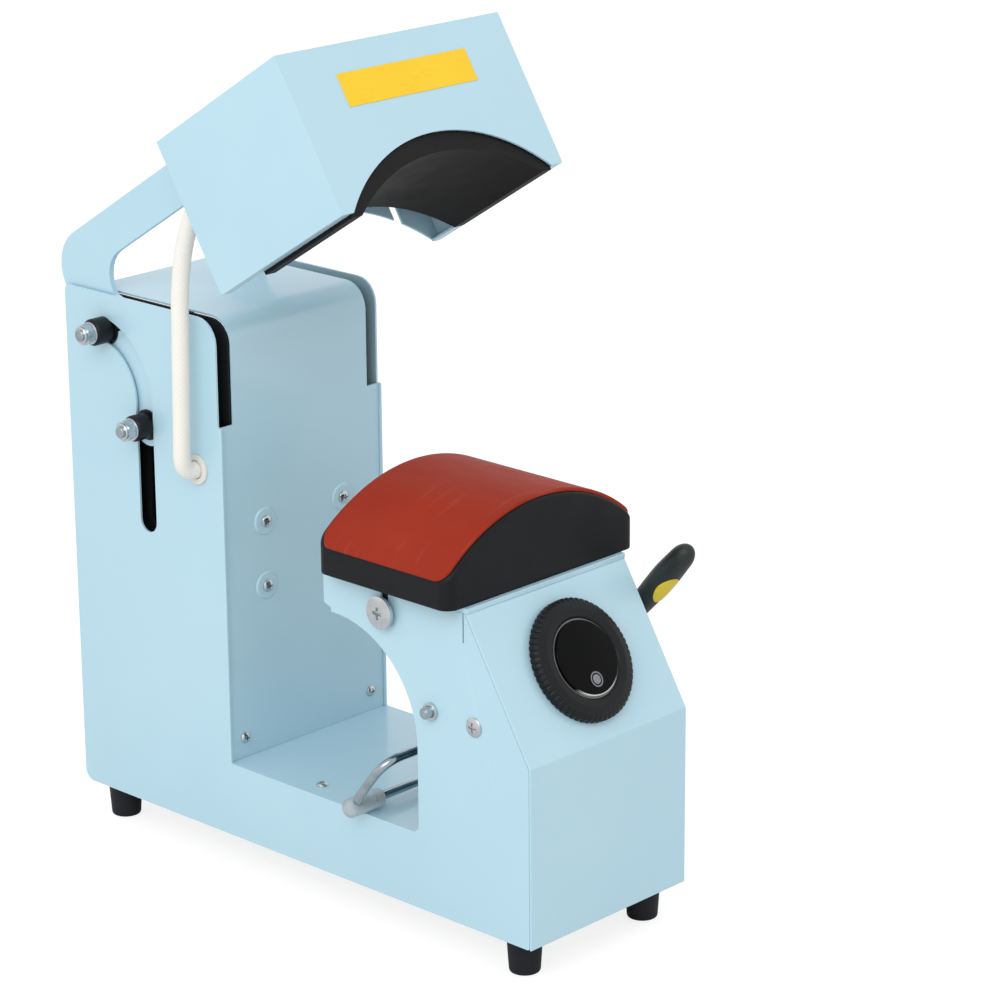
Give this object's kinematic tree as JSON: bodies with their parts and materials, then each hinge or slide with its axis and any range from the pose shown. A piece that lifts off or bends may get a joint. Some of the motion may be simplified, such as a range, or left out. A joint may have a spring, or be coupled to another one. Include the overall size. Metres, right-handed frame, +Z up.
{
  "type": "cap heat press",
  "caption": "Benchtop press whose heated concave head leans down on two guided arms onto a padded curved form, with a dial on the sloped face and a hand lever that turns a wire band clamp.",
  "frame": {"origin": "on the bench, at the centre of the four rubber feet", "axes": "+Z up; +Y from the dial side to the back; +X to the right of someone who faces the dial"},
  "size_m": [0.202, 0.442, 0.5823],
  "materials": {
    "blue_paint": "satin powder coat",
    "zinc_plate": "zinc plated",
    "bright_steel": "bright plated",
    "black_steel": "matt black paint",
    "black_casting": "black coated casting",
    "black_plastic": "fine moulded",
    "display": "polished",
    "foot_rubber": "moulded rubber",
    "silicone": "soft silicone foam skin",
    "cream_sleeve": "woven heat sleeve",
    "clear_sleeve": "milky tube",
    "yellow_trim": "printed film",
    "heater_film": "moulded film",
    "insulation": "fibre board",
    "circuit": "circuit board"
  },
  "bodies": {
    "body": {"left_side_panel": "blue_paint", "right_side_panel": "blue_paint", "column_sheet": "blue_paint", "floor_plate": "blue_paint", "pedestal_front": "blue_paint", "pedestal_deck": "blue_paint", "bottom_plate": "zinc_plate", "back_cover": "blue_paint", "rubber_feet": "foot_rubber", "foot_screws": "zinc_plate", "inner_guide_plates": "black_steel", "glide_liners": "black_plastic", "actuator_bracket": "black_steel", "actuator_tube": "zinc_plate", "actuator_motor": "black_plastic", "platen_bracket": "black_steel", "lower_platen": "black_casting", "silicone_pad": "silicone", "platen_clamp_screws": "zinc_plate", "dial_hub": "black_plastic", "display_glass": "display", "power_key": "display", "control_board": "circuit", "power_board": "circuit", "power_inlet": "black_plastic", "switch_frame": "black_plastic", "clamp_bushings": "zinc_plate", "cable_grommet": "cream_sleeve", "column_screws": "zinc_plate", "dimple_washers": "blue_paint", "body_screws": "zinc_plate", "heater_cable_lower": "cream_sleeve"},
    "lower_guide": {"lower_guide_shaft": "bright_steel", "lower_guide_rollers": "black_plastic", "lower_guide_nuts": "zinc_plate", "actuator_rod": "bright_steel"},
    "head": {"left_arm": "blue_paint", "right_arm": "blue_paint", "head_cross_plate": "zinc_plate", "head_cover": "blue_paint", "heating_platen": "black_casting", "heating_element": "heater_film", "insulation_board": "insulation", "platen_studs": "zinc_plate", "head_label": "yellow_trim", "head_grommet": "black_plastic", "heater_cable_upper": "cream_sleeve"},
    "upper_guide": {"upper_guide_shaft": "bright_steel", "upper_guide_rollers": "black_plastic", "upper_guide_nuts": "zinc_plate"},
    "dial": {"dial_ring": "black_plastic"},
    "cap_clamp": {"clamp_shaft": "bright_steel", "clamp_arms": "bright_steel", "clamp_wire": "bright_steel", "clamp_sleeves": "clear_sleeve", "lever_arm": "black_steel", "lever_grip": "black_plastic", "grip_inset": "yellow_trim"},
    "rocker": {"rocker_switch": "black_plastic"}
  },
  "joints": [
    {"name": "head_lift", "type": "slide", "parent": "body", "child": "lower_guide", "axis": [0, 0, 1], "range_m": [-0.0652, 0], "deforming": ["heater_cable_lower"]},
    {"name": "head_tilt", "type": "hinge", "parent": "lower_guide", "child": "head", "pos_m": [0, 0.1385, 0.30427], "axis": [1, 0, 0], "range_deg": [0, 32], "deforming": ["heater_cable_upper"]},
    {"name": "upper_guide_swing", "type": "hinge", "parent": "body", "child": "upper_guide", "pos_m": [0, 0.1867, 0.31775], "axis": [1, 0, 0], "range_deg": [0, 86.36]},
    {"name": "clamp_swing", "type": "hinge", "parent": "body", "child": "cap_clamp", "pos_m": [0, -0.1305, 0.1672], "axis": [1, 0, 0], "range_deg": [0, 75]},
    {"name": "dial_turn", "type": "hinge", "parent": "body", "child": "dial", "pos_m": [0, -0.18974, 0.19518], "axis": [0, -0.8587, 0.5124], "continuous": true},
    {"name": "power_rocker", "type": "hinge", "parent": "body", "child": "rocker", "pos_m": [0, 0.215, 0.0675], "axis": [1, 0, 0], "range_deg": [-18, 0]}
  ],
  "couplings": [
    {"joint": "head_tilt", "follows": "head_lift", "rad_per_m": -8.556},
    {"joint": "upper_guide_swing", "follows": "head_lift", "rad_per_m": -23.09}
  ]
}
